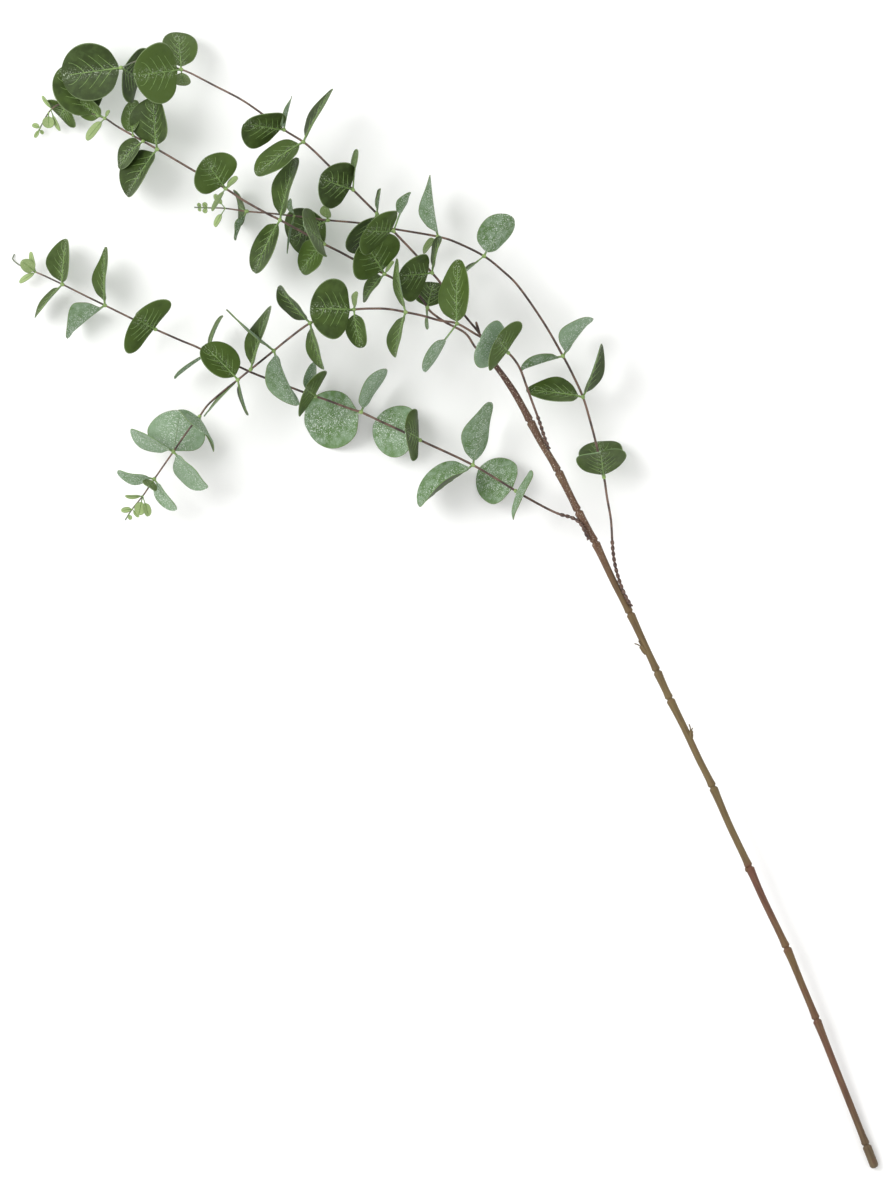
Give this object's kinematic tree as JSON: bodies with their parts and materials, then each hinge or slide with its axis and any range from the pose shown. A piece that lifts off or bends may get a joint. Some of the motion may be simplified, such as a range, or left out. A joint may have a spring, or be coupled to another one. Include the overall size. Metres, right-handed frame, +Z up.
{
  "type": "artificial eucalyptus branch",
  "caption": "Artificial silver dollar eucalyptus branch: a long brown moulded stem with wire sprigs of round grey-green leaves in pairs, lying down on a surface",
  "frame": {"origin": "centre of the branch's footprint, on the surface that it lies on", "axes": "+Z up from the surface that it lies on, towards the viewer of the picture; +Y from the cut end towards the far sprigs; +X to the picture's right"},
  "size_m": [0.6955, 0.9118, 0.1002],
  "materials": {
    "stem_bark": "moulded brown plastic with fine pale flecks, satin matte",
    "foliage": "dull green leaves, frosted grey-green beneath, with pale raised veins, on reddish brown twigs"
  },
  "bodies": {
    "root": {"main_stem": "stem_bark", "sprig_right_arch": "foliage", "sprig_top": "foliage", "sprig_middle": "foliage", "sprig_lower_left": "foliage", "sprig_front_arch": "foliage"}
  },
  "joints": []
}
